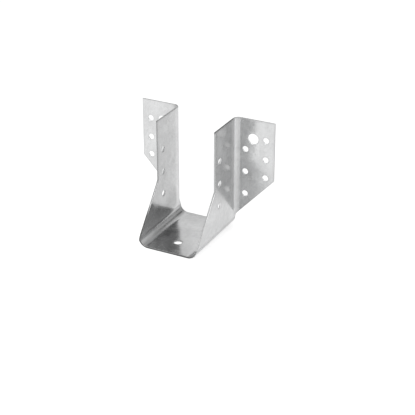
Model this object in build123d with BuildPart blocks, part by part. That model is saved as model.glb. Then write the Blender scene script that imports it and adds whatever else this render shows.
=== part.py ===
from build123d import *
import math
import os

# A face-fixed joist hanger folded from one galvanised steel sheet.
# The joist stands on the seat between two side plates, and the two flanges lie flat on the header.
# Frame: +Z up, the header's face towards +Y, the joist runs off towards -Y.
# Origin: on the ground, in the middle of the hanger's width and depth.

# Driving dimensions in millimetres and degrees
sheet = 1.5
joist_width = 50.0
joist_play = 0.5
height = 98.3
flange_reach = 34.25
depth = 72.0
seat_setback = 1.7
seat_bend_radius = 7.0
flange_bend_radius = 4.2

# Outline of the side plates: a narrow upper part, then an edge that slants out to the seat's front
plate_depth = 39.2
plate_break_height = 46.1
plate_toe_height = 5.6

# Outline of the flanges: a straight outer edge, then an edge that slants down into the bend
flange_corner_height = 47.1
bend_toe_height = 14.9

# Hole diameters
nail_hole = 5.0
bolt_hole = 9.0
seat_hole = 7.0

# Hole places: a row's highest hole is taken from the top edge and its lowest one from the ground,
# insets from the header's face, reaches from the side plate's outer face,
# and shares say where the holes between them lie
side_nail_drop = 27.6
side_nail_lowest = 30.7
side_nail_shares = [0.0, 0.5, 1.0]
side_nail_inset = 31.2
inner_nail_drop = 27.0
inner_nail_lowest = 31.3
inner_nail_shares = [0.0, 0.5, 1.0]
inner_nail_reach = 8.35
outer_nail_drop = 16.4
outer_nail_lowest = 48.8
outer_nail_shares = [0.0, 0.514, 1.0]
outer_nail_reach = 26.5
bolt_drop = 16.9
bolt_reach = 15.15
seat_hole_inset = 18.4

# Places that follow from the driving dimensions
inside = (joist_width + joist_play) / 2
outside = inside + sheet
edge = outside + flange_reach
back = depth / 2
front = -depth / 2
seat_back = back - seat_setback
plate_front = back - plate_depth
flange_front = back - sheet
seat_bend_top = seat_bend_radius + sheet
flange_bend_front = flange_front - flange_bend_radius
flange_bend_side = outside + flange_bend_radius

# Lengths along the middle of the sheet, from the line where the flange bend starts
bend_middle_radius = flange_bend_radius + sheet / 2
full_bend_length = bend_middle_radius * math.pi / 2
straight_length = seat_back - flange_bend_front

# The flange's slanted edge runs on through the bend with the same slope, down to the back edge
flange_slope = (flange_corner_height - bend_toe_height) / (edge - flange_bend_side)
slant_meets_back = bend_toe_height - (full_bend_length - straight_length) * flange_slope


def row_heights(drop, lowest, shares):
    """Heights of the holes in one row, from the highest to the lowest."""
    highest = height - drop
    return [highest + share * (lowest - highest) for share in shares]


def bend_section(z, length, share):
    """Closed outline of the sheet past the flange bend's start, at one height.

    length is measured along the middle of the sheet, and share is how much of the full
    curvature the sheet has there, from 0 for straight to 1 for the full bend.
    """
    with BuildSketch(Plane.XY.offset(z)) as section:
        if share == 0:
            with Locations((inside, flange_bend_front)):
                Rectangle(sheet, length, align=(Align.MIN, Align.MIN))
        else:
            radius = bend_middle_radius / share
            turn = math.degrees(length / radius)
            centre = (inside + sheet / 2 + radius, flange_bend_front)
            with BuildLine():
                near = CenterArc(centre, radius - sheet / 2, 180, -turn)
                far = CenterArc(centre, radius + sheet / 2, 180, -turn)
                Line(near @ 0, far @ 0)
                Line(near @ 1, far @ 1)
            make_face()
    return section.sketch


with BuildPart() as hanger:
    # Right half of the channel that carries the joist, drawn from the front
    with BuildSketch(Plane.XZ.offset(-back)) as channel:
        with BuildLine():
            FilletPolyline((0, 0), (outside, 0), (outside, height), radius=seat_bend_top)
            offset(amount=sheet, side=Side.LEFT)
        make_face()
    extrude(amount=depth)

    # Outline of the side plate and the seat, drawn from the side
    with BuildSketch(Plane.YZ) as side_outline:
        with BuildLine():
            Polyline(
                (front, 0),
                (front, plate_toe_height),
                (plate_front, plate_break_height),
                (plate_front, height),
                (flange_bend_front, height),
                (flange_bend_front, seat_bend_top),
                (seat_back, seat_bend_top),
                (seat_back, 0),
                close=True,
            )
        make_face()
    extrude(amount=outside, mode=Mode.INTERSECT)

    # The toe of the flange bend, where the back edge curls out from the straight plate into the bend
    middle_height = (slant_meets_back + bend_toe_height) / 2
    middle_length = (straight_length + full_bend_length) / 2
    toe_levels = [
        (seat_bend_top, straight_length),
        (slant_meets_back, straight_length),
        (middle_height, middle_length),
        (bend_toe_height, full_bend_length),
    ]
    toe_sections = []
    for level, length in toe_levels:
        rise = (level - seat_bend_top) / (bend_toe_height - seat_bend_top)
        toe_sections.append(bend_section(level, length, math.sin(rise * math.pi / 2)))
    loft(toe_sections, ruled=True)

    # The flange and its bend, drawn from above, with the lower corner cut off on the slant
    with BuildSketch(Plane.XY.offset(bend_toe_height)) as flange_plan:
        with BuildLine():
            FilletPolyline(
                (inside, flange_bend_front - flange_bend_radius),
                (inside, back),
                (edge, back),
                radius=flange_bend_radius + sheet,
            )
            offset(amount=sheet, side=Side.RIGHT)
        make_face()
    extrude(amount=height - bend_toe_height)
    with BuildSketch(Plane.XZ.offset(-back)) as flange_corner:
        with BuildLine():
            Polyline(
                (flange_bend_side, bend_toe_height),
                (edge, bend_toe_height),
                (edge, flange_corner_height),
                close=True,
            )
        make_face()
    extrude(amount=sheet, mode=Mode.SUBTRACT)

    mirror(about=Plane.YZ)

    # Nail and bolt holes through both flanges
    nail_places = []
    for z in row_heights(inner_nail_drop, inner_nail_lowest, inner_nail_shares):
        nail_places.append((outside + inner_nail_reach, z))
    for z in row_heights(outer_nail_drop, outer_nail_lowest, outer_nail_shares):
        nail_places.append((outside + outer_nail_reach, z))
    for side in (-1, 1):
        with Locations(Plane.XZ.offset(-flange_front)):
            with Locations(*[(side * x, z) for x, z in nail_places]):
                Hole(nail_hole / 2, depth=sheet)
            with Locations((side * (outside + bolt_reach), height - bolt_drop)):
                Hole(bolt_hole / 2, depth=sheet)

    # Nail holes straight through both side plates
    with Locations(Plane.YZ.offset(outside)):
        for z in row_heights(side_nail_drop, side_nail_lowest, side_nail_shares):
            with Locations((back - side_nail_inset, z)):
                Hole(nail_hole / 2, depth=2 * outside)

    # Hole in the seat
    with Locations((0, front + seat_hole_inset, sheet)):
        Hole(seat_hole / 2, depth=sheet)

hanger.part.label = "hanger"

os.makedirs("parts", exist_ok=True)
export_step(hanger.part, "parts/hanger.step")
print("solids", len(hanger.part.solids()), "volume", round(hanger.part.volume, 1))
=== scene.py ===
import math

import bpy
import numpy as np
from mathutils import Matrix, Vector


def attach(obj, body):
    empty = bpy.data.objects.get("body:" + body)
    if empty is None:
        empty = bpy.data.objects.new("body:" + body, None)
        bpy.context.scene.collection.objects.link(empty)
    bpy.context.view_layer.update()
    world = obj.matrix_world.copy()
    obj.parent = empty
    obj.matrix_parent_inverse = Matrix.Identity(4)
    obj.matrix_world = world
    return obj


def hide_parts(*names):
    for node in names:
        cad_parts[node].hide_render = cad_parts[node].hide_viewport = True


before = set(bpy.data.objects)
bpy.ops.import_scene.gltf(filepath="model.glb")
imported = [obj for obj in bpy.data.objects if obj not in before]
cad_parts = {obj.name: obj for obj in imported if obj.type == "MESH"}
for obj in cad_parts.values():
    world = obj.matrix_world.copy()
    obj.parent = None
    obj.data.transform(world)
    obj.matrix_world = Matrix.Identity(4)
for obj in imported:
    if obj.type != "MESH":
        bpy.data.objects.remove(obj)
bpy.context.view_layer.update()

# Metres in a millimetre
MM = 0.001

# Sizes of the folded sheet in millimetres, the same as in the part's source
SHEET = 1.5
INSIDE = 25.25
HEIGHT = 98.3
FLANGE_REACH = 34.25
DEPTH = 72.0
SEAT_SETBACK = 1.7
SEAT_BEND_RADIUS = 7.0
FLANGE_BEND_RADIUS = 4.2
PLATE_DEPTH = 39.2
PLATE_BREAK_HEIGHT = 46.1
PLATE_TOE_HEIGHT = 5.6
FLANGE_CORNER_HEIGHT = 47.1
BEND_TOE_HEIGHT = 14.9

# Holes: radii, and places in the part's frame
NAIL_RADIUS = 2.5
BOLT_RADIUS = 4.5
SEAT_HOLE_RADIUS = 3.5
SIDE_NAIL_Y = 4.8
SIDE_NAIL_Z = (70.7, 50.7, 30.7)
INNER_NAIL_X = 35.1
INNER_NAIL_Z = (71.3, 51.3, 31.3)
OUTER_NAIL_X = 53.25
OUTER_NAIL_Z = (81.9, 64.887, 48.8)
BOLT_X, BOLT_Z = 41.9, 81.4
SEAT_HOLE_Y = -17.6

# Lengths that follow from the sizes. FLANGE_SHIFT leads from an x on the flange to its place along the blank.
OUTSIDE = INSIDE + SHEET
EDGE = OUTSIDE + FLANGE_REACH
BACK = DEPTH / 2
FRONT = -DEPTH / 2
SEAT_BACK = BACK - SEAT_SETBACK
PLATE_FRONT = BACK - PLATE_DEPTH
SEAT_ARC = SEAT_BEND_RADIUS + SHEET / 2
SEAT_BEND_TOP = SEAT_BEND_RADIUS + SHEET
SEAT_FLAT = OUTSIDE - SEAT_BEND_TOP
SEAT_BEND_END = SEAT_FLAT + SEAT_ARC * math.pi / 2
SEAT_BEND_MIDDLE = (SEAT_FLAT + SEAT_BEND_END) / 2
FLANGE_ARC = FLANGE_BEND_RADIUS + SHEET / 2
FLANGE_BEND_Y = BACK - SHEET - FLANGE_BEND_RADIUS
FLANGE_BEND_LENGTH = FLANGE_ARC * math.pi / 2
FLANGE_BEND_END = FLANGE_BEND_Y + FLANGE_BEND_LENGTH
FLANGE_BEND_X = OUTSIDE + FLANGE_BEND_RADIUS
FLANGE_SHIFT = FLANGE_BEND_END - FLANGE_BEND_X
FLANGE_SLOPE = (FLANGE_CORNER_HEIGHT - BEND_TOE_HEIGHT) / (EDGE - FLANGE_BEND_X)
BEND_TOE_LOW = BEND_TOE_HEIGHT - (FLANGE_BEND_END - SEAT_BACK) * FLANGE_SLOPE
PLATE_SLOPE = (PLATE_BREAK_HEIGHT - PLATE_TOE_HEIGHT) / (PLATE_FRONT - FRONT)

# The cut edges: the press tool draws one face in by a roll, leaves a smooth band and then a torn band.
# The outline was cut from the inner side and the holes were punched from the outer side.
# Heights are from the middle of the sheet towards its inner face.
ROLL_REACH = 0.22
ROLL_DEPTH = 0.34
ROLL_POINTS = 5
TEAR_START = 0.0
TEAR_SLANT = 0.1
TEAR_BLEND = 0.05
BURR_RADIUS = 0.06
HOLE_FLARE_START = -0.2
HOLE_LIP = 0.02

# The roll counts as the sheet's face until CUT_FADE / (1 + CUT_FADE) of its reach,
# and the distance to the nearest cut is kept up to EDGE_SEEN
CUT_FADE = 0.25
EDGE_SEEN = 8.0

# Corners of the outline that turn by more than this many degrees are rounded with this many points
CORNER_TURN = 12.0
CORNER_POINTS = 5

# How finely the blank is divided: steps across it, from the seat's middle line up to the top edge
SEAT_STEPS = 13
BEND_LOW_STEPS = 10
BEND_HIGH_STEPS = 4
PLATE_LOW_STEPS = 3
BEND_TOE_STEPS = 7
SLANT_STEPS = 22
CORNER_STEPS = 1
PLATE_HIGH_STEPS = 36

# Steps along it: over the narrow upper plate and over the flange bend's start.
# The other lines along it follow from the two slanted edges.
PLATE_WIDTH_STEPS = 23
BEND_START_STEPS = 6

# Room that is left about a hole, the shares of the way in to its lip where rings lie,
# and how many steps of a millimetre tell two points apart when equal ones are merged
HOLE_ROOM = 0.55
HOLE_RINGS = (0.4, 0.75, 1.0)
MERGE_STEPS = 20000

# Finish and light. Places and sizes are in metres, and a strength of 1 is white.
# A zone of the surroundings lies about its direction, and core and wide are angles from it in degrees.
STEEL_TONE = 0.665
STEEL_HUE = (0.995, 1.0, 1.004)
FLOOR_WIDTH = 8.0
FLOOR_GAP = 0.0001
FLOOR_TONE = 0.62
FLOOR_LIFT_SEEN = 0.65
FLOOR_LIFT_MIRRORED = 0.50
WORLD_BASE = 0.52
WORLD_ZONES = [
    {"toward": (-0.42, 0.80, 0.42), "core": 18, "wide": 50, "strength": 0.88},
    {"toward": (0.0, -0.1, 1.0), "core": 25, "wide": 55, "strength": 0.78},
    {"toward": (0.60, 0.79, 0.05), "core": 10, "wide": 26, "strength": 0.25},
    {"toward": (0.28, 0.79, 0.54), "core": 6, "wide": 38, "strength": 0.36},
    {"toward": (0.30, 0.79, 0.53), "core": 3, "wide": 10, "strength": 0.06},
]
LAMP_PLACE = (0.0, -0.80, 0.60)
LAMP_AIM = (0.0, 0.0, 0.0)
LAMP_SIZE = 0.50
LAMP_POWER = 3.4

# Camera: angles in degrees, lengths in millimetres, and the focal length and the aim's place in pixels
CAMERA_AZIMUTH = 27.27
CAMERA_ELEVATION = 26.69
CAMERA_DISTANCE = 1014.11
CAMERA_FOCAL = 1239.586
CAMERA_AIM = (0.0, 6.0, 45.0)
AIM_PIXEL = (191.21, 183.08)
FRAME_PIXELS = 415
SENSOR_WIDTH = 36.0

# Clipping distances in metres
NEAR_CLIP = 0.05
FAR_CLIP = 50.0


def height_to_blank(z):
    """Distance along the middle of the sheet from the seat's middle line to a height on the plate."""
    return SEAT_BEND_END + (z - SEAT_BEND_TOP)


def seat_bend(across):
    """Turn of the seat's bend and height of the sheet's middle, at a distance from the blank's middle line.

    The sheet runs level to SEAT_FLAT, then through a quarter circle, then straight up.
    """
    turn = np.clip((across - SEAT_FLAT) / SEAT_ARC, 0, math.pi / 2)
    height = SEAT_BEND_TOP - SEAT_ARC * np.cos(turn) + np.maximum(across - SEAT_BEND_END, 0)
    return turn, height


def fold(u, v, w):
    """Place in millimetres of the blank's point (u, v), w above the middle of the sheet.

    u runs across the blank from the seat's middle line: x = |u| on the flat, then an arc of
    90 degrees, then straight up the plate. v is y up to the flange bend, and past it the point
    moves on a circle of radius FLANGE_ARC / share for the bend's length, then straight outward.
    share is 0 below the bend's toe and rises as the sine of a quarter turn to 1 at its top.
    """
    side = np.where(u < 0, -1.0, 1.0)
    across = np.abs(u)
    turn, z = seat_bend(across)
    x = np.minimum(across, SEAT_FLAT) + SEAT_ARC * np.sin(turn)
    rise = np.clip((z - SEAT_BEND_TOP) / (BEND_TOE_HEIGHT - SEAT_BEND_TOP), 0, 1)
    share = np.sin(rise * math.pi / 2)
    past = np.maximum(v - FLANGE_BEND_Y, 0)
    curved = np.minimum(past, FLANGE_BEND_LENGTH)
    swing = curved * share / FLANGE_ARC
    straight = past - curved
    x = x + curved * (swing / 2) * np.sinc(swing / (2 * math.pi)) ** 2 + straight * np.sin(swing)
    y = np.minimum(v, FLANGE_BEND_Y) + curved * np.sinc(swing / math.pi) + straight * np.cos(swing)
    x = x - w * np.sin(turn) * np.cos(swing)
    y = y + w * np.sin(turn) * np.sin(swing)
    z = z + w * np.cos(turn)
    return np.stack([side * x, y, z], axis=-1)


def lean(u, v, w, du, dv):
    """Unit direction in which a folded point moves when the blank's point moves along (du, dv)."""
    step = 0.01
    ahead = fold(u + step * du, v + step * dv, w)
    behind = fold(u - step * du, v - step * dv, w)
    move = ahead - behind
    return move / np.linalg.norm(move, axis=-1, keepdims=True)


def face_normal(u, v, w):
    """Unit normal of the sheet on its inner side: the cross product of the two leans."""
    zero, one = np.zeros_like(u), np.ones_like(u)
    normal = np.cross(lean(u, v, w, one, zero), lean(u, v, w, zero, one))
    return normal / np.linalg.norm(normal, axis=-1, keepdims=True)


def spaced(start, end, count):
    """count equal steps from start to end, without the start."""
    return np.linspace(start, end, count + 1)[1:]


def blank_lines():
    """The blank's grid lines, chosen so that both slanted edges run through crossings of them.

    Every row that a slanted edge crosses has a column of its own at the place of the crossing,
    so the edge is the diagonal of its cells.
    """
    inset = ROLL_REACH
    plate_run = math.hypot(1, 1 / PLATE_SLOPE)
    flange_run = math.hypot(1, FLANGE_SLOPE)
    toe_shift = PLATE_SLOPE * inset * (1 - plate_run)
    corner_shift = inset * (flange_run - FLANGE_SLOPE)
    toe = PLATE_TOE_HEIGHT + toe_shift
    toe_turn = math.acos((SEAT_BEND_TOP - toe) / SEAT_ARC)
    toe_u = SEAT_FLAT + SEAT_ARC * toe_turn
    low = BEND_TOE_LOW + corner_shift
    corner = FLANGE_CORNER_HEIGHT + corner_shift
    heights = [
        spaced(SEAT_BEND_TOP, low, PLATE_LOW_STEPS),
        spaced(low, BEND_TOE_HEIGHT, BEND_TOE_STEPS),
        spaced(BEND_TOE_HEIGHT, PLATE_BREAK_HEIGHT + toe_shift, SLANT_STEPS),
        spaced(PLATE_BREAK_HEIGHT + toe_shift, corner, CORNER_STEPS),
        spaced(corner, HEIGHT - inset, PLATE_HIGH_STEPS),
    ]
    rows = np.concatenate(
        [
            [0.0],
            spaced(0, SEAT_FLAT, SEAT_STEPS),
            spaced(SEAT_FLAT, toe_u, BEND_LOW_STEPS),
            spaced(toe_u, SEAT_BEND_END, BEND_HIGH_STEPS),
            height_to_blank(np.concatenate(heights)),
        ]
    )
    toe_row = SEAT_STEPS + BEND_LOW_STEPS
    low_row = toe_row + BEND_HIGH_STEPS + PLATE_LOW_STEPS
    break_row = low_row + BEND_TOE_STEPS + SLANT_STEPS
    corner_row = break_row + CORNER_STEPS
    _, z = seat_bend(rows)
    front_edge = FRONT + (z - PLATE_TOE_HEIGHT) / PLATE_SLOPE + inset * plate_run
    back_edge = SEAT_BACK + (z - BEND_TOE_LOW - inset * flange_run) / FLANGE_SLOPE
    columns = np.concatenate(
        [
            front_edge[toe_row : break_row + 1],
            spaced(front_edge[break_row], FLANGE_BEND_Y, PLATE_WIDTH_STEPS),
            spaced(FLANGE_BEND_Y, SEAT_BACK - inset, BEND_START_STEPS),
            back_edge[low_row + 1 : corner_row + 1],
        ]
    )
    break_column = break_row - toe_row
    back_column = break_column + PLATE_WIDTH_STEPS + BEND_START_STEPS
    edge_column = len(columns) - 1
    return rows, columns, (toe_row, low_row, break_row, corner_row), (break_column, back_column, edge_column)


def outline_path(top, marks, stops):
    """Rows and columns along the blank's outline, with the sheet on its left, right half then left half."""
    toe_row, low_row, break_row, corner_row = marks
    break_column, back_column, edge_column = stops

    def run(rows, columns):
        return np.stack(np.broadcast_arrays(np.atleast_1d(rows), np.atleast_1d(columns)), axis=-1)

    right = np.concatenate(
        [
            run(np.arange(0, toe_row), 0),
            run(np.arange(toe_row, break_row), np.arange(0, break_column)),
            run(np.arange(break_row, top), break_column),
            run(top, np.arange(break_column, edge_column)),
            run(np.arange(top, corner_row, -1), edge_column),
            run(np.arange(corner_row, low_row, -1), np.arange(edge_column, back_column, -1)),
            run(np.arange(low_row, -1, -1), back_column),
        ]
    )
    left = right[::-1][1:-1] * [-1, 1]
    return np.concatenate([right, left])


def hole_block(centre, lines, reach):
    """First and last line of the block that takes in a hole's reach about its place."""
    first = np.searchsorted(lines, centre - reach, side="right") - 1
    last = np.searchsorted(lines, centre + reach, side="left")
    return first, last


def outline_profile():
    """Profile of the outline's cut, from the inner face to the outer.

    It is given as four arrays: outward place, height in the sheet, the normal's angle and the share
    of cut. A quarter of an ellipse rolls off the inner face, a straight band follows, and the torn
    band slants back to a small round at the outer face.
    """
    quarter = np.linspace(0, math.pi / 2, ROLL_POINTS)
    half = SHEET / 2
    slant = math.atan2(TEAR_SLANT, half + TEAR_START)
    end_out = ROLL_REACH - TEAR_SLANT
    out = np.concatenate(
        [ROLL_REACH * np.sin(quarter), [ROLL_REACH, ROLL_REACH, end_out], [end_out - BURR_RADIUS, 0.0]]
    )
    up = np.concatenate(
        [
            half - ROLL_DEPTH * (1 - np.cos(quarter)),
            [TEAR_START + TEAR_BLEND, TEAR_START, -half + BURR_RADIUS],
            [-half, -half],
        ]
    )
    angle = np.concatenate([math.pi / 2 - quarter, [0.0, -slant, -slant], [-math.pi / 2, -math.pi / 2]])
    cut = np.clip(out / ROLL_REACH * (1 + CUT_FADE) - CUT_FADE, 0, 1)
    cut[-3:] = [1.0, 0.0, 0.0]
    return out, up, angle, cut


def hole_profile():
    """Profile of a punched hole's wall, as the same four arrays.

    A cone widens to the inner face, a straight band follows, then the roll to the outer face.
    """
    quarter = np.linspace(0, math.pi / 2, ROLL_POINTS)
    half = SHEET / 2
    flare = math.atan2(ROLL_REACH, half - HOLE_FLARE_START)
    out = np.concatenate([[0.0, HOLE_LIP, ROLL_REACH, ROLL_REACH], ROLL_REACH * np.cos(quarter)])
    up = np.concatenate(
        [
            [half, half - HOLE_LIP, HOLE_FLARE_START, HOLE_FLARE_START - HOLE_LIP],
            -half + ROLL_DEPTH * (1 - np.sin(quarter)),
        ]
    )
    angle = np.concatenate([[math.pi / 2, flare, flare, 0.0], -quarter])
    cut = np.concatenate([[0.0, 1.0, 1.0, 1.0], np.cos(quarter)])
    return out, up, angle, cut


def rim(profile, finish, u, v, out_u, out_v):
    """Edge strip along a closed path: a profile carried along it, leaning outward by (out_u, out_v).

    finish says which of the two kinds of cut the strip has: (1, 0) for the outline, (0, 1) for a hole.
    """
    out, up, angle, cut = profile
    stretch = np.hypot(out_u, out_v)
    uu = u[None, :] + out[:, None] * out_u[None, :]
    vv = v[None, :] + out[:, None] * out_v[None, :]
    ww = np.broadcast_to(up[:, None], uu.shape)
    places = fold(uu, vv, ww)
    outward = lean(uu, vv, ww, out_u / stretch + 0 * uu, out_v / stretch + 0 * uu)
    upward = face_normal(uu, vv, ww)
    normals = np.cos(angle)[:, None, None] * outward + np.sin(angle)[:, None, None] * upward
    blanks = np.stack([uu, vv, ww], axis=-1)
    cuts = np.broadcast_to(cut[:, None], uu.shape)
    near = np.broadcast_to(ROLL_REACH - out[:, None], uu.shape)
    finishes = np.stack([finish[0] * cuts, finish[1] * cuts, near], axis=-1)
    count = len(u)
    here = np.arange(len(out) - 1)[:, None] * count + np.arange(count)[None, :]
    beside = np.arange(len(out) - 1)[:, None] * count + np.roll(np.arange(count), -1)[None, :]
    quads = np.stack([here, here + count, beside + count, beside], axis=-1).reshape(-1, 4)
    places, normals, blanks, finishes = (a.reshape(-1, 3) for a in (places, normals, blanks, finishes))
    return places, normals, blanks, finishes, quads


def edge_distance(u, v, path_u, path_v, holes):
    """Distance in millimetres from points of the blank to the nearest cut, at most EDGE_SEEN."""
    along_u, along_v = np.roll(path_u, -1) - path_u, np.roll(path_v, -1) - path_v
    off_u, off_v = u[:, None] - path_u[None, :], v[:, None] - path_v[None, :]
    share = np.clip((off_u * along_u + off_v * along_v) / (along_u**2 + along_v**2), 0, 1)
    nearest = np.hypot(off_u - share * along_u, off_v - share * along_v).min(axis=1) + ROLL_REACH
    for centre_u, centre_v, radius in holes:
        nearest = np.minimum(nearest, np.hypot(u - centre_u, v - centre_v) - radius)
    return np.clip(nearest, 0, EDGE_SEEN)


def outline_rim(u, v):
    """Path and outward directions of the outline: a fan of directions at each corner that points out."""
    ahead_u, ahead_v = np.roll(u, -1) - u, np.roll(v, -1) - v
    ahead = np.stack([ahead_v, -ahead_u], axis=-1) / np.hypot(ahead_u, ahead_v)[:, None]
    behind = np.roll(ahead, 1, axis=0)
    swing = np.arctan2(
        behind[:, 0] * ahead[:, 1] - behind[:, 1] * ahead[:, 0], np.sum(behind * ahead, axis=1)
    )
    fans = np.where(swing > math.radians(CORNER_TURN), CORNER_POINTS, 1)
    which = np.repeat(np.arange(len(u)), fans)
    step = np.arange(len(which)) - np.repeat(np.cumsum(fans) - fans, fans)
    share = np.where(fans[which] > 1, step / (CORNER_POINTS - 1), 0.5)
    angle = np.arctan2(behind[which, 1], behind[which, 0]) + share * swing[which]
    mitre = np.where(fans[which] > 1, 1.0, 1 / np.cos(swing[which] / 2))
    return u[which], v[which], mitre * np.cos(angle), mitre * np.sin(angle)


def hole_places():
    """All holes as (place across the blank, place along it, radius), the same on both halves."""
    holes = [(0.0, SEAT_HOLE_Y, SEAT_HOLE_RADIUS)]
    for side in (-1, 1):
        holes += [(side * height_to_blank(z), SIDE_NAIL_Y, NAIL_RADIUS) for z in SIDE_NAIL_Z]
        holes += [(side * height_to_blank(z), FLANGE_SHIFT + INNER_NAIL_X, NAIL_RADIUS) for z in INNER_NAIL_Z]
        holes += [(side * height_to_blank(z), FLANGE_SHIFT + OUTER_NAIL_X, NAIL_RADIUS) for z in OUTER_NAIL_Z]
        holes += [(side * height_to_blank(BOLT_Z), FLANGE_SHIFT + BOLT_X, BOLT_RADIUS)]
    return holes


def hole_plan(hole, rows, columns, index, used):
    """Rings of points round a hole: the block they replace, their places, their faces and the hole's rim.

    The first ring is the border of the block of cells. Each of its points moves straight in to the
    place on the hole's lip that lies in the same direction from the hole's centre.
    """
    centre_u, centre_v, radius = hole
    reach = radius + ROLL_REACH + HOLE_ROOM
    low_u, high_u = hole_block(centre_u, rows, reach)
    low_v, high_v = hole_block(centre_v, columns, reach)
    along_u, along_v = np.arange(low_u, high_u), np.arange(low_v, high_v)
    border = np.concatenate(
        [
            index[along_u, low_v],
            index[high_u, along_v],
            index[along_u[::-1] + 1, high_v],
            index[low_u, along_v[::-1] + 1],
        ]
    )
    border_u, border_v = rows[border // len(columns)], columns[border % len(columns)]
    angle = np.arctan2(border_v - centre_v, border_u - centre_u)
    lip = radius + ROLL_REACH
    inward = np.array(HOLE_RINGS)[:, None]
    ring_u = border_u + inward * (centre_u + lip * np.cos(angle) - border_u)
    ring_v = border_v + inward * (centre_v + lip * np.sin(angle) - border_v)
    levels = np.concatenate([border[None, :], used + np.arange(ring_u.size).reshape(ring_u.shape)])
    beside = np.roll(levels, -1, axis=1)
    faces = np.stack([levels[:-1], beside[:-1], beside[1:], levels[1:]], axis=-1).reshape(-1, 4)
    around = angle[::-1]
    edge = (hole_profile(), (0, 1), ring_u[-1][::-1], ring_v[-1][::-1], -np.cos(around), -np.sin(around))
    return (slice(low_u, high_u), slice(low_v, high_v)), ring_u.reshape(-1), ring_v.reshape(-1), faces, edge


def cell_faces(index, inside, open_cells):
    """Faces of the grid's cells: squares where all four corners lie on the sheet, triangles where three do.

    A triangle is given as a square with its last corner twice. Cells that a hole opens are left out.
    """
    corners = [index[:-1, :-1], index[1:, :-1], index[1:, 1:], index[:-1, 1:]]
    on_sheet = [inside[:-1, :-1], inside[1:, :-1], inside[1:, 1:], inside[:-1, 1:]]
    whole = np.logical_and.reduce(on_sheet) & ~open_cells
    faces = [np.stack([c[whole] for c in corners], axis=-1)]
    for missing in range(4):
        kept = [k for k in range(4) if k != missing]
        part = ~on_sheet[missing] & np.logical_and.reduce([on_sheet[k] for k in kept])
        faces.append(np.stack([corners[k][part] for k in kept + kept[-1:]], axis=-1))
    return np.concatenate(faces)


def sheet_parts():
    """All the pieces of the folded sheet's skin as (places, normals, blank coordinates, finish, faces).

    The blank's plan is a grid of cells with rings of points about each hole. It is folded once for
    each face of the sheet, and rims along the outline and the holes join the two faces.
    """
    half_rows, columns, marks, stops = blank_lines()
    toe_row, low_row, _, corner_row = marks
    break_column, back_column, _ = stops
    top = len(half_rows) - 1
    rows = np.concatenate([-half_rows[:0:-1], half_rows])
    step = np.abs(np.arange(len(rows)) - top)
    column = np.arange(len(columns))
    first = np.clip(step - toe_row, 0, break_column)[:, None]
    last = (back_column + np.clip(step - low_row, 0, corner_row - low_row))[:, None]
    inside = (column >= first) & (column <= last)

    holes = hole_places()
    grid_u, grid_v = np.meshgrid(rows, columns, indexing="ij")
    index = np.arange(grid_u.size).reshape(grid_u.shape)
    open_cells = np.zeros((len(rows) - 1, len(columns) - 1), bool)
    plan_u, plan_v, faces, rims = [grid_u.reshape(-1)], [grid_v.reshape(-1)], [], []
    for hole in holes:
        used = sum(len(u) for u in plan_u)
        block, ring_u, ring_v, ring_faces, edge = hole_plan(hole, rows, columns, index, used)
        open_cells[block] = True
        plan_u.append(ring_u)
        plan_v.append(ring_v)
        faces.append(ring_faces)
        rims.append(edge)
    faces = np.concatenate(faces + [cell_faces(index, inside, open_cells)])

    path = outline_path(top, marks, stops)
    path_u, path_v = rows[top + path[:, 0]], columns[path[:, 1]]
    rims.append((outline_profile(), (1, 0), *outline_rim(path_u, path_v)))

    plan_u, plan_v = np.concatenate(plan_u), np.concatenate(plan_v)
    nothing = np.zeros_like(plan_u)
    finish = np.stack([nothing, nothing, edge_distance(plan_u, plan_v, path_u, path_v, holes)], axis=-1)
    parts = []
    for w, order in ((SHEET / 2, slice(None)), (-SHEET / 2, slice(None, None, -1))):
        level = np.full_like(plan_u, w)
        normal = face_normal(plan_u, plan_v, level) * math.copysign(1, w)
        blank = np.stack([plan_u, plan_v, level], axis=-1)
        parts.append((fold(plan_u, plan_v, level), normal, blank, finish, faces[:, order]))
    parts += [rim(*edge) for edge in rims]
    return parts


def merge_parts(parts):
    """One closed skin: equal points become one, and faces that shrink to nothing are dropped."""
    counts = np.cumsum([0] + [len(p[0]) for p in parts])
    places, normals, blanks, finishes = (np.concatenate([p[k] for p in parts]) for k in range(4))
    faces = np.concatenate([p[4] + start for p, start in zip(parts, counts)])
    keys = np.round(places * MERGE_STEPS).astype(np.int64)
    _, first, back = np.unique(keys, axis=0, return_index=True, return_inverse=True)
    faces = back.reshape(-1)[faces]
    same_next = faces == np.roll(faces, -1, axis=1)
    quads = faces[~same_next.any(axis=1)]
    bent = faces[same_next.sum(axis=1) == 1]
    keep = ~same_next[same_next.sum(axis=1) == 1]
    triangles = bent[keep].reshape(-1, 3)
    used = np.unique(np.concatenate([quads.reshape(-1), triangles.reshape(-1)]))
    renumber = np.full(len(first), -1)
    renumber[used] = np.arange(len(used))
    chosen = first[used]
    return (
        places[chosen],
        normals[chosen],
        blanks[chosen],
        finishes[chosen],
        renumber[quads].tolist() + renumber[triangles].tolist(),
    )


def add_object(name, data):
    """New object with that data, in the scene's collection."""
    thing = bpy.data.objects.new(name, data)
    bpy.context.scene.collection.objects.link(thing)
    return thing


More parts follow.
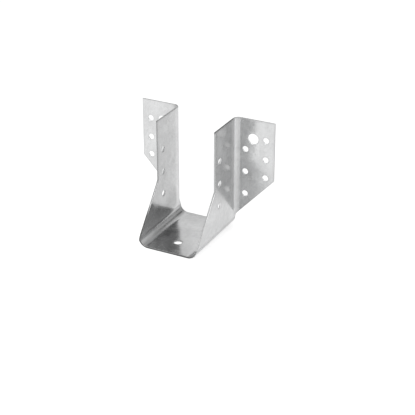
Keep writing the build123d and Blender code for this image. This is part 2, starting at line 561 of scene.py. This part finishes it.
def make_sheet():
    """The folded sheet as one mesh, with its blank's coordinates and its finish as point attributes.

    finish holds the share of the outline's cut, the share of a hole's wall and the distance to the edge.
    """
    places, normals, blanks, finishes, faces = merge_parts(sheet_parts())
    mesh = bpy.data.meshes.new("folded_sheet")
    mesh.from_pydata((places * MM).tolist(), [], faces)
    mesh.polygons.foreach_set("use_smooth", np.ones(len(mesh.polygons), bool))
    blank = mesh.attributes.new("blank", "FLOAT_VECTOR", "POINT")
    blank.data.foreach_set("vector", blanks.astype(np.float32).reshape(-1))
    finish = mesh.attributes.new("finish", "FLOAT_VECTOR", "POINT")
    finish.data.foreach_set("vector", finishes.astype(np.float32).reshape(-1))
    mesh.update()
    mesh.normals_split_custom_set_from_vertices(normals.tolist())
    return add_object("folded_sheet", mesh)


class Nodes:
    """Short calls for building a node tree, where a value may be a number or another node's socket."""

    def __init__(self, tree):
        self.tree = tree
        tree.nodes.clear()

    def add(self, kind, **settings):
        """New node: its properties by name, and in inputs its sockets, each from a socket or as a value."""
        node = self.tree.nodes.new(kind)
        inputs = settings.pop("inputs", {})
        for name, value in settings.items():
            setattr(node, name, value)
        for name, value in inputs.items():
            if isinstance(value, bpy.types.NodeSocket):
                self.tree.links.new(value, node.inputs[name])
            else:
                node.inputs[name].default_value = value
        return node

    def link(self, source, target):
        self.tree.links.new(source, target)

    def finish(self, kind, surface):
        """Output node of that kind, fed with the surface."""
        self.link(surface, self.add(kind).inputs["Surface"])

    def math(self, operation, first, second=0.0, third=0.0):
        values = {0: first, 1: second, 2: third}
        return self.add("ShaderNodeMath", operation=operation, inputs=values).outputs[0]

    def size(self, value):
        """Value without its sign."""
        return self.math("ABSOLUTE", value)

    def product(self, first, *others):
        """Product of all the values."""
        for other in others:
            first = self.math("MULTIPLY", first, other)
        return first

    def onto(self, base, share, amount):
        """base + share * amount."""
        return self.math("MULTIPLY_ADD", share, amount, base)

    def sway(self, base, pattern, amount):
        """base + (pattern - 0.5) * amount, for a pattern that lies about 0.5."""
        return self.onto(base, self.math("SUBTRACT", pattern, 0.5), amount)

    def ramp(self, value, low, high, start=0.0, end=1.0, smooth=True):
        """Value mapped from low..high to start..end, held at both ends."""
        node = self.add(
            "ShaderNodeMapRange",
            interpolation_type="SMOOTHSTEP" if smooth else "LINEAR",
            inputs={"Value": value, "From Min": low, "From Max": high, "To Min": start, "To Max": end},
        )
        return node.outputs["Result"]

    def band(self, value, middle, core, reach):
        """Share that is 1 as far as core from the middle value, and has faded to 0 at reach."""
        return self.ramp(self.size(self.math("SUBTRACT", value, middle)), core, reach, 1.0, 0.0)

    def mix(self, share, first, second):
        """first where the share is 0, second where it is 1."""
        node = self.add("ShaderNodeMix", data_type="FLOAT", inputs={"Factor": share, "A": first, "B": second})
        return node.outputs["Result"]

    def stretch(self, vector, turn, scale):
        """Coordinates turned about the blank's normal by degrees, then drawn out by scale on each axis."""
        inputs = {"Vector": vector, "Rotation": (0, 0, math.radians(turn)), "Scale": scale}
        return self.add("ShaderNodeMapping", vector_type="TEXTURE", inputs=inputs).outputs["Vector"]

    def moved(self, vector, by):
        return self.add("ShaderNodeVectorMath", operation="ADD", inputs={0: vector, 1: by}).outputs["Vector"]

    def noise(self, vector, scale, detail=2.0, roughness=0.5, distortion=0.0):
        node = self.add(
            "ShaderNodeTexNoise",
            inputs={
                "Vector": vector,
                "Scale": scale,
                "Detail": detail,
                "Roughness": roughness,
                "Distortion": distortion,
            },
        )
        return node.outputs["Fac"]

    def attribute(self, name):
        node = self.add("ShaderNodeAttribute", attribute_type="GEOMETRY", attribute_name=name)
        return node.outputs["Vector"]

    def parts(self, vector):
        return self.add("ShaderNodeSeparateXYZ", inputs={"Vector": vector}).outputs


def new_material(name):
    """Material with an empty node tree, and the calls for building it."""
    material = bpy.data.materials.new(name)
    material.use_nodes = True
    return material, Nodes(material.node_tree)


def by_height(low, high, start=0.0, end=1.0):
    """Fade between two heights, as distances from the blank's middle line."""
    return height_to_blank(low), height_to_blank(high), start, end


def by_height_left(low, high, start=0.0, end=1.0):
    """Fade between two heights on the left half, whose places across the blank are below zero."""
    return -height_to_blank(low), -height_to_blank(high), start, end


# Fades over the blank are (from, to, value before, value after), or only (from, to) for 0 to 1.
# Bands are (middle, half width of the full core, half width where it has faded out).
# Right of the blank's middle line is above zero. All lengths are in the blank's millimetres.
RIGHT_HALF = (-1.0, 1.0)
LEFT_HALF = (0.0, -2.0)
ON_PLATE = (FLANGE_BEND_Y - 1.5, FLANGE_BEND_Y - 6.5)
ABOVE_SEAT_BEND = (SEAT_BEND_END, SEAT_BEND_END + 2.0)
ON_SEAT = (SEAT_FLAT - 3.0, SEAT_FLAT + 1.0, 1.0, 0.0)
OUTER_FACE = (-0.2, -0.4)

# Shifts of tone on the side plates: painted shade for the dimmer floor that they mirror
LEFT_PLATE = by_height_left(6.0, 14.0)
LEFT_PLATE_TONE = (10.0, 24.0, -0.105, -0.070)
RIGHT_PLATE = by_height(24.0, 46.0)
RIGHT_PLATE_TONE = (4.0, 16.0, -0.135, -0.170)
RIGHT_TOP_TONE = by_height(64.0, 80.0, 0.0, -0.085)
LOW_BACK_UP = by_height_left(34.0, 16.0)
LOW_BACK_ALONG = (0.0, 16.0)
LOW_BACK_TONE = -0.12

# Shifts of tone on the flanges and their bends: painted reflections and painted shade
FLANGE_ROOT = FLANGE_BEND_END + 3.0
FLANGE_ROOT_REACH = (3.0, 12.0)
FLANGE_ROOT_TONE = by_height(42.0, 60.0, -0.09, 0.02)
FLANGE_TONE = 0.03
STRIPE = (FLANGE_BEND_END + 11.5, 1.0, 6.5)
STRIPE_TOP = by_height(82.0, 91.0, 1.0, 0.1)
STRIPE_TONE = by_height(50.0, 68.0, -0.06, 0.16)
# A painted highlight outside the flange bends near their start, and painted shade near their end
BEND_HIGHLIGHT = (FLANGE_BEND_Y + 1.0, 0.6, 2.2)
BEND_HIGHLIGHT_ABOVE = by_height(16.0, 26.0)
BEND_HIGHLIGHT_TONE = 0.30
BEND_END_SHADE = (FLANGE_BEND_END - 1.6, 1.0, 3.0)
BEND_END_SHADE_TONE = by_height(34.0, 60.0, -0.04, -0.12)

# Shifts of tone on the seat and its bends: painted reflections and painted shade
SEAT_BEND = (SEAT_BEND_MIDDLE, 2.5, 5.5)
SEAT_BEND_TONE = 0.12
LEFT_OF_SEAT = (5.0, -9.0)
BELOW_LEFT_PLATE = by_height_left(30.0, 22.0)
LOW_LEFT_TONE = (6.0, -30.0, -0.01, 0.17)
# A slanted band of painted shade over the seat's front part, and painted shade at its back
SEAT_SHADE_BAND = (-3.0, 3.0, 10.0)
SEAT_SHADE_SLANT = 0.54
SEAT_SHADE_FROM_BACK = (12.0, 2.0)
SEAT_SHADE_TONE = -0.065
SEAT_BACK_TONE = (12.0, 26.0, 0.0, -0.07)
# Painted lines in the seat's bends, mostly dark: low in the left bend, and near the upper end of both
PAINTED_LOW_BEND_LINE = (-SEAT_FLAT - 2.7, 1.0, 2.8)
PAINTED_LOW_BEND_LINE_TONE = (14.0, -18.0, 0.06, -0.22)
PAINTED_BEND_TOP_LINE = (SEAT_BEND_END - 2.2, 1.0, 2.6)
PAINTED_BEND_TOP_LEFT_TONE = (-4.0, -24.0, -0.20, -0.33)
PAINTED_BEND_TOP_RIGHT_TONE = -0.12


def plate_tone(n, across, along):
    """Shift of tone on the side plates.

    Both are painted darker than the flanges, as painted shade for the dimmer floor they mirror. The right one
    is darkest near its top, and the left one has a darker patch of painted shade low at its back.
    """
    left_plate = n.ramp(across, *LEFT_PLATE)
    tone = n.ramp(across, *RIGHT_TOP_TONE)
    tone = n.onto(tone, n.ramp(across, *RIGHT_PLATE), n.ramp(along, *RIGHT_PLATE_TONE))
    tone = n.onto(tone, left_plate, n.ramp(along, *LEFT_PLATE_TONE))
    low_back = n.product(left_plate, n.ramp(across, *LOW_BACK_UP), n.ramp(along, *LOW_BACK_ALONG))
    return n.onto(tone, low_back, LOW_BACK_TONE)


def flange_tone(n, across, from_middle, along):
    """Shift of tone on the flanges.

    Painted shade darkens them low beside the bend, and painted reflection lightens the rest a little.
    The right one has a painted stripe of reflection, light above and dark below.
    """
    from_root = n.size(n.math("SUBTRACT", along, FLANGE_ROOT))
    tone = n.ramp(from_root, *FLANGE_ROOT_REACH, n.ramp(from_middle, *FLANGE_ROOT_TONE), FLANGE_TONE)
    stripe = n.product(n.band(along, *STRIPE), n.ramp(across, *STRIPE_TOP), n.ramp(across, *RIGHT_HALF))
    return n.onto(tone, stripe, n.ramp(across, *STRIPE_TONE))


def flange_bend_tone(n, from_middle, along, through):
    """Shift of tone at the flange bends: a painted highlight outside near their start, and painted shade near
    their end.
    """
    bend_highlight = n.product(n.ramp(through, *OUTER_FACE), n.ramp(from_middle, *BEND_HIGHLIGHT_ABOVE))
    bend_highlight = n.product(bend_highlight, n.band(along, *BEND_HIGHLIGHT))
    bend_end_shade = n.product(n.band(along, *BEND_END_SHADE), n.ramp(from_middle, *BEND_END_SHADE_TONE))
    return n.onto(bend_end_shade, bend_highlight, BEND_HIGHLIGHT_TONE)


def seat_tone(n, across, from_middle, along):
    """Shift of tone on the seat and its bends.

    Both bends are painted lighter, as painted reflection. The left one and the sheet beside it get lighter
    still towards the front.
    The seat has a darker band of painted shade that slants over its front part, and painted shade at its
    back.
    A painted line, mostly dark, lies low in the left bend, and a painted dark line lies near the upper end of
    both.
    """
    tone = n.product(n.band(from_middle, *SEAT_BEND), SEAT_BEND_TONE)
    low_left = n.product(n.ramp(across, *LEFT_OF_SEAT), n.ramp(across, *BELOW_LEFT_PLATE))
    tone = n.onto(tone, low_left, n.ramp(along, *LOW_LEFT_TONE))
    seat_shade_band = n.product(n.band(n.onto(across, along, SEAT_SHADE_SLANT), *SEAT_SHADE_BAND), n.ramp(along, *SEAT_SHADE_FROM_BACK))
    seat_painted_shade = n.onto(n.ramp(along, *SEAT_BACK_TONE), seat_shade_band, SEAT_SHADE_TONE)
    tone = n.onto(tone, n.ramp(from_middle, *ON_SEAT), seat_painted_shade)
    tone = n.onto(tone, n.band(across, *PAINTED_LOW_BEND_LINE), n.ramp(along, *PAINTED_LOW_BEND_LINE_TONE))
    bend_top_left_shade = n.ramp(along, *PAINTED_BEND_TOP_LEFT_TONE)
    bend_top_shade = n.mix(n.ramp(across, *RIGHT_HALF), bend_top_left_shade, PAINTED_BEND_TOP_RIGHT_TONE)
    return n.onto(tone, n.band(from_middle, *PAINTED_BEND_TOP_LINE), bend_top_shade)


def painted_reflection_tone(n, across, from_middle, along, through):
    """Broad shift of tone over the whole blank, tuned to the photograph.

    Its regions are painted reflections and painted shade of the surroundings that the sheet mirrors.
    Some may be reflections of the room.
    """
    plates = plate_tone(n, across, along)
    flanges = flange_tone(n, across, from_middle, along)
    upper = n.mix(n.ramp(along, *ON_PLATE), flanges, plates)
    upper = n.math("ADD", upper, flange_bend_tone(n, from_middle, along, through))
    lower = seat_tone(n, across, from_middle, along)
    return n.onto(lower, upper, n.ramp(from_middle, *ABOVE_SEAT_BEND))


# Noises of the coat: their scale is in repeats per millimetre of the blank, or of a stretched copy of it
CLOUDS = {"scale": 0.055, "detail": 3.0, "roughness": 0.55, "distortion": 0.6}
PATCHES = {"scale": 0.19, "detail": 4.0, "roughness": 0.6, "distortion": 1.2}
PATCH_STRETCH = {"turn": 35, "scale": (1.0, 0.55, 1.0)}
CRYSTAL_SCALE = 0.42
ROLLED = {"scale": 1.0, "detail": 3.0, "roughness": 0.6}
ROLLED_STRETCH = {"turn": 0, "scale": (24.0, 0.45, 1.0)}
GRAIN = {"scale": 2.6, "detail": 2.0, "roughness": 0.6}
WANDER = {"scale": 0.30, "detail": 2.0}
WAVE = {"scale": 0.05, "detail": 1.0}

# Hair scratches: their direction in degrees, how far the broad noise is moved, and how high it must be
SCRATCH_SETS = ((62, 0.0, 0.56), (-34, 40.0, 0.60), (8, 90.0, 0.60))
SCRATCH_STRETCH = (16.0, 0.55, 1.0)
SCRATCH_LINES = {"scale": 1.0, "detail": 1.0}
SCRATCH_WIDTH = 0.012
SCRATCHED = {"scale": 0.12, "detail": 1.0}
SCRATCHED_FADE = 0.06

# How far each of them shifts the tone, the roughness and the relief, which is in millimetres
CLOUD_TONE = 0.24
PATCH_TONE = 0.23
CRYSTAL_TONE = 0.03
ROLLED_TONE = 0.08
RIM_TONE = -0.05
SCRATCH_TONE = -0.07
CUT_GRAIN_TONE = 0.12
BASE_ROUGHNESS = 0.14
DULL_ROUGHNESS = 0.08
CRYSTAL_ROUGHNESS = 0.04
RIM_ROUGHNESS = 0.08
SCRATCH_ROUGHNESS = 0.15
BEND_ROUGHNESS = 0.17
WAVE_RELIEF = 0.10
PATCH_RELIEF = 0.012
ROLLED_RELIEF = 0.0025
GRAIN_RELIEF = 0.0025
SCRATCH_RELIEF = -0.004

# Wear: the dull rim beside the cuts, the mix of clouds and patches that thins the gloss, and the bends
RIM_WIDTH = (0.2, 2.2, 1.0, 0.0)
RIM_BROKEN = (0.35, 0.65, 0.3, 1.0)
CLOUD_SHARE, PATCH_SHARE = 0.6, 0.4
DULL_SPOTS = (0.42, 0.62)
FLANGE_STRETCHED = (FLANGE_BEND_Y + FLANGE_BEND_LENGTH / 2, 2.5, 5.0)
SEAT_STRETCHED = (SEAT_BEND_MIDDLE, 3.5, 7.0)
SEAT_STRETCHED_ALONG = (12.0, -28.0, 0.3, 1.3)

# The outline's cut. Pairs are for the smooth sheared band and the torn band.
TEAR_WANDER = 0.7
TORN_BAND = (-0.10, 0.20, 1.0, 0.0)
SLANTED_EDGE = (PLATE_FRONT, PLATE_FRONT - 3.0)
DARK_FROM_LEFT = by_height_left(31.0, 20.0)
DARK_TO_RIGHT = (SEAT_FLAT, SEAT_BEND_END, 1.0, 0.0)
TOP_EDGE = (height_to_blank(HEIGHT) - 1.5, height_to_blank(HEIGHT) - 0.5)
PLATE_TOP = (FLANGE_BEND_Y - 2.0, FLANGE_BEND_Y, 1.0, 0.0)
PLATE_TOP_DARKNESS = (*RIGHT_HALF, 0.35, 0.60)
LEFT_FRONT_REACH = (PLATE_FRONT + 1.0, PLATE_FRONT + 2.0, 1.0, 0.0)
CUT_TONES = (0.78, 0.54)
LEFT_UPRIGHT_TONES = (0.56, 0.46)
LEFT_SLANT_TONES = (0.88, 0.84)
RIGHT_SLANT_SHEARED = by_height(8.0, 38.0, 0.31, 0.68)
RIGHT_SLANT_TORN = by_height(8.0, 38.0, 0.38, 0.80)
DARK_CUT_TONES = (0.15, 0.12)
CUT_ROUGHNESS = (0.35, 0.50)

# The holes' walls
IN_FLANGE = (FLANGE_BEND_Y, FLANGE_BEND_END)
IN_SEAT = (SEAT_FLAT, SEAT_BEND_END, 1.0, 0.0)
PLATE_WALL_TONE = (0.05, 0.35, 1.0, 0.45)
FLANGE_WALL_TONE = 0.95
SEAT_WALL_TONE = 0.42
WALL_ROUGHNESS = 0.45

# The rest of the bends' curve in the seat: its width, its height in millimetres and its sign on the two faces
TAIL_FADE = (SEAT_FLAT, SEAT_FLAT - 10.0, 1.0, 0.0)
TAIL_HEIGHT = (-32.0, -8.0, 0.12, 0.40)
TAIL_SIDES = (-0.5, 0.5, -1.0, 1.0)


def hair_scratches(n, blank):
    """Thin ridges of a stretched noise, kept only where a broad noise is high."""
    scratches = 0.0
    for turn, place, where in SCRATCH_SETS:
        lines = n.noise(n.stretch(blank, turn, SCRATCH_STRETCH), **SCRATCH_LINES)
        ridge = n.band(lines, 0.5, 0.0, SCRATCH_WIDTH)
        broad = n.noise(n.moved(blank, (place, -place, 0)), **SCRATCHED)
        kept = n.ramp(broad, where, where + SCRATCHED_FADE)
        scratches = n.math("MAXIMUM", scratches, n.product(ridge, kept))
    return scratches


def outline_cut_tone(n, across, from_middle, along, torn):
    """Tone of the outline's cut, which has a smooth sheared band inside and a torn band outside.

    It is dark along the seat's front, as painted shade where the floor's contact shadow lies, dark low on the
    left plate's slanted edge, and partly dark on the plates' tops. The right plate's slanted edge gets
    lighter from the seat upwards.
    """
    slanted = n.ramp(along, *SLANTED_EDGE)
    # Painted contact shade along the seat's front cut; the same mask darkens the left plate's slanted edge
    # low down
    front_dark = n.product(slanted, n.ramp(across, *DARK_FROM_LEFT), n.ramp(across, *DARK_TO_RIGHT))
    plate_top = n.product(n.ramp(from_middle, *TOP_EDGE), n.ramp(along, *PLATE_TOP))
    top_dark = n.product(plate_top, n.ramp(across, *PLATE_TOP_DARKNESS))
    left_front = n.product(n.ramp(across, *LEFT_HALF), n.ramp(along, *LEFT_FRONT_REACH))
    left_tone = n.mix(slanted, n.mix(torn, *LEFT_UPRIGHT_TONES), n.mix(torn, *LEFT_SLANT_TONES))
    right_slant = n.product(slanted, n.math("SUBTRACT", 1.0, left_front))
    right_tone = n.mix(torn, n.ramp(across, *RIGHT_SLANT_SHEARED), n.ramp(across, *RIGHT_SLANT_TORN))
    tone = n.mix(left_front, n.mix(torn, *CUT_TONES), left_tone)
    tone = n.mix(right_slant, tone, right_tone)
    return n.mix(n.math("MAXIMUM", front_dark, top_dark), tone, n.mix(torn, *DARK_CUT_TONES))


def hole_wall_tone(n, from_middle, along, through):
    """Tone of the holes' walls: light in the flanges, dull in the seat and on the plates' inner side."""
    in_plate = n.ramp(through, *PLATE_WALL_TONE)
    tone = n.mix(n.ramp(along, *IN_FLANGE), in_plate, FLANGE_WALL_TONE)
    return n.mix(n.ramp(from_middle, *IN_SEAT), tone, SEAT_WALL_TONE)


def bend_tail(n, from_middle, along, through):
    """Height of the sheet beside the seat's bends, where it hasn't quite flattened.

    It is the square of a straight fade, times the height along the bend, raised inside and sunk outside.
    """
    fade = n.ramp(from_middle, *TAIL_FADE, smooth=False)
    return n.product(n.math("POWER", fade, 2.0), n.ramp(through, *TAIL_SIDES), n.ramp(along, *TAIL_HEIGHT))


def galvanised_steel():
    """Zinc-coated sheet: soft mirror gloss with cloudy crystals, fine rolling lines and duller cut edges.

    All patterns lie in the blank's own millimetres, so they run round the bends without a seam.
    """
    material, n = new_material("galvanised_steel")
    blank = n.attribute("blank")
    across, along, through = n.parts(blank)
    from_middle = n.size(across)
    cut, wall, edge = n.parts(n.attribute("finish"))

    # Patterns of the zinc: broad clouds, patches, crystals with a shade each, fine lines along the rolling
    clouds = n.noise(blank, **CLOUDS)
    patches = n.noise(n.stretch(blank, **PATCH_STRETCH), **PATCHES)
    crystal = n.add("ShaderNodeTexVoronoi", inputs={"Vector": blank, "Scale": CRYSTAL_SCALE})
    shade = n.parts(crystal.outputs["Color"])[0]
    rolled = n.noise(n.stretch(blank, **ROLLED_STRETCH), **ROLLED)
    grain = n.noise(blank, **GRAIN)
    scratches = hair_scratches(n, blank)

    # Wear: a dull rim beside the cuts, dull spots, and bends where the stretched coat is duller
    rim_wear = n.product(n.ramp(edge, *RIM_WIDTH), n.ramp(patches, *RIM_BROKEN))
    dull = n.ramp(n.onto(n.product(patches, PATCH_SHARE), clouds, CLOUD_SHARE), *DULL_SPOTS)
    seat_stretched = n.product(n.band(from_middle, *SEAT_STRETCHED), n.ramp(along, *SEAT_STRETCHED_ALONG))
    stretched = n.math("MAXIMUM", n.band(along, *FLANGE_STRETCHED), seat_stretched)

    tone = n.sway(STEEL_TONE, clouds, CLOUD_TONE)
    tone = n.sway(tone, patches, PATCH_TONE)
    tone = n.sway(tone, shade, CRYSTAL_TONE)
    tone = n.sway(tone, rolled, ROLLED_TONE)
    tone = n.onto(tone, rim_wear, RIM_TONE)
    # Painted reflections and painted shade of the surroundings, added to the zinc's own tone
    tone = n.math("ADD", tone, painted_reflection_tone(n, across, from_middle, along, through))
    tone = n.onto(tone, scratches, SCRATCH_TONE)

    rough = n.onto(BASE_ROUGHNESS, dull, DULL_ROUGHNESS)
    rough = n.sway(rough, shade, CRYSTAL_ROUGHNESS)
    rough = n.onto(rough, rim_wear, RIM_ROUGHNESS)
    rough = n.onto(rough, scratches, SCRATCH_ROUGHNESS)
    rough = n.onto(rough, stretched, BEND_ROUGHNESS)

    # The outline's cut and the holes' walls
    torn = n.ramp(n.sway(through, n.noise(blank, **WANDER), TEAR_WANDER), *TORN_BAND)
    cut_tone = n.sway(outline_cut_tone(n, across, from_middle, along, torn), grain, CUT_GRAIN_TONE)
    tone = n.mix(cut, tone, cut_tone)
    rough = n.mix(cut, rough, n.mix(torn, *CUT_ROUGHNESS))
    tone = n.mix(wall, tone, hole_wall_tone(n, from_middle, along, through))
    rough = n.mix(wall, rough, WALL_ROUGHNESS)

    # Relief: slight waves left by the press, patches, rolling lines, grain, scratches and the bends' tails
    relief = n.product(n.noise(blank, **WAVE), WAVE_RELIEF)
    relief = n.onto(relief, patches, PATCH_RELIEF)
    relief = n.onto(relief, rolled, ROLLED_RELIEF)
    relief = n.onto(relief, grain, GRAIN_RELIEF)
    relief = n.onto(relief, scratches, SCRATCH_RELIEF)
    relief = n.math("ADD", relief, bend_tail(n, from_middle, along, through))
    bump = n.add("ShaderNodeBump", inputs={"Strength": 1.0, "Distance": MM, "Height": relief})

    red, green, blue = STEEL_HUE
    colour = n.add(
        "ShaderNodeCombineColor",
        inputs={"Red": n.product(tone, red), "Green": n.product(tone, green), "Blue": n.product(tone, blue)},
    )
    shader = n.add(
        "ShaderNodeBsdfPrincipled",
        inputs={
            "Base Color": colour.outputs["Color"],
            "Metallic": 1.0,
            "Roughness": rough,
            "Normal": bump.outputs["Normal"],
        },
    )
    n.finish("ShaderNodeOutputMaterial", shader.outputs["BSDF"])
    return material


def white_floor():
    """Pale floor: matt, so it keeps the shadow, lifted to white where seen and a little less in mirrors."""
    material, n = new_material("white_floor")
    diffuse = n.add("ShaderNodeBsdfDiffuse", inputs={"Color": (FLOOR_TONE, FLOOR_TONE, FLOOR_TONE, 1)})
    path = n.add("ShaderNodeLightPath")
    mirrored = n.math("MAXIMUM", path.outputs["Is Glossy Ray"], path.outputs["Is Transmission Ray"])
    seen = n.product(path.outputs["Is Camera Ray"], FLOOR_LIFT_SEEN)
    lift = n.onto(seen, mirrored, FLOOR_LIFT_MIRRORED)
    glow = n.add("ShaderNodeEmission", inputs={"Color": (1, 1, 1, 1), "Strength": lift})
    both = n.add("ShaderNodeAddShader")
    n.link(diffuse.outputs[0], both.inputs[0])
    n.link(glow.outputs[0], both.inputs[1])
    n.finish("ShaderNodeOutputMaterial", both.outputs[0])
    return material


def make_floor():
    """A wide flat square just under the seat."""
    half = FLOOR_WIDTH / 2
    corners = [(-half, -half, 0), (half, -half, 0), (half, half, 0), (-half, half, 0)]
    mesh = bpy.data.meshes.new("floor")
    mesh.from_pydata(corners, [], [(0, 1, 2, 3)])
    floor = add_object("floor", mesh)
    floor.location = (0, 0, -FLOOR_GAP)
    mesh.materials.append(white_floor())


def make_world():
    """Soft surroundings of a light tent, made of zones about a direction.

    A zone has its full strength within its core angle and has faded out at its wide angle.
    """
    world = bpy.data.worlds.new("studio")
    bpy.context.scene.world = world
    world.use_nodes = True
    n = Nodes(world.node_tree)
    place = n.add("ShaderNodeTexCoord").outputs["Generated"]
    strength = WORLD_BASE
    for zone in WORLD_ZONES:
        inputs = {0: place, 1: Vector(zone["toward"]).normalized()}
        toward = n.add("ShaderNodeVectorMath", operation="DOT_PRODUCT", inputs=inputs)
        wide, core = math.cos(math.radians(zone["wide"])), math.cos(math.radians(zone["core"]))
        share = n.ramp(toward.outputs["Value"], wide, core, smooth=False)
        strength = n.mix(share, strength, zone["strength"])
    back = n.add("ShaderNodeBackground", inputs={"Color": (1, 1, 1, 1), "Strength": strength})
    n.finish("ShaderNodeOutputWorld", back.outputs[0])


def make_lamp():
    """One soft round lamp in front and above, aimed at the middle of the floor."""
    data = bpy.data.lights.new("soft_lamp", "AREA")
    data.shape = "DISK"
    data.size = LAMP_SIZE
    data.energy = LAMP_POWER
    lamp = add_object("soft_lamp", data)
    lamp.location = LAMP_PLACE
    turn = (Vector(LAMP_AIM) - Vector(LAMP_PLACE)).to_track_quat("-Z", "Y")
    lamp.rotation_euler = turn.to_euler()


def make_camera():
    """Camera at the photograph's angle, from the fit to its edges and holes.

    It looks towards the header, turned by the azimuth and tilted down by the elevation, and is moved
    sideways and up so that the aim lands on its own pixel.
    """
    azimuth, elevation = math.radians(CAMERA_AZIMUTH), math.radians(CAMERA_ELEVATION)
    level = Vector((-math.sin(azimuth), math.cos(azimuth), 0))
    along = level * math.cos(elevation) - Vector((0, 0, math.sin(elevation)))
    right = Vector((math.cos(azimuth), math.sin(azimuth), 0))
    up = right.cross(along)
    side = (AIM_PIXEL[0] - FRAME_PIXELS / 2) * CAMERA_DISTANCE / CAMERA_FOCAL
    rise = (FRAME_PIXELS / 2 - AIM_PIXEL[1]) * CAMERA_DISTANCE / CAMERA_FOCAL
    place = Vector(CAMERA_AIM) - along * CAMERA_DISTANCE - side * right - rise * up
    data = bpy.data.cameras.new("camera")
    data.sensor_width = SENSOR_WIDTH
    data.lens = CAMERA_FOCAL / FRAME_PIXELS * SENSOR_WIDTH
    data.clip_start, data.clip_end = NEAR_CLIP, FAR_CLIP
    camera = add_object("camera", data)
    turn = Matrix((right, up, -along)).transposed().to_4x4()
    camera.matrix_world = Matrix.Translation(place * MM) @ turn
    bpy.context.scene.camera = camera


bpy.context.scene.view_settings.view_transform = "Standard"
sheet = make_sheet()
sheet.data.materials.append(galvanised_steel())
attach(sheet, "root")
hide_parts("hanger")
make_floor()
make_world()
make_lamp()
make_camera()
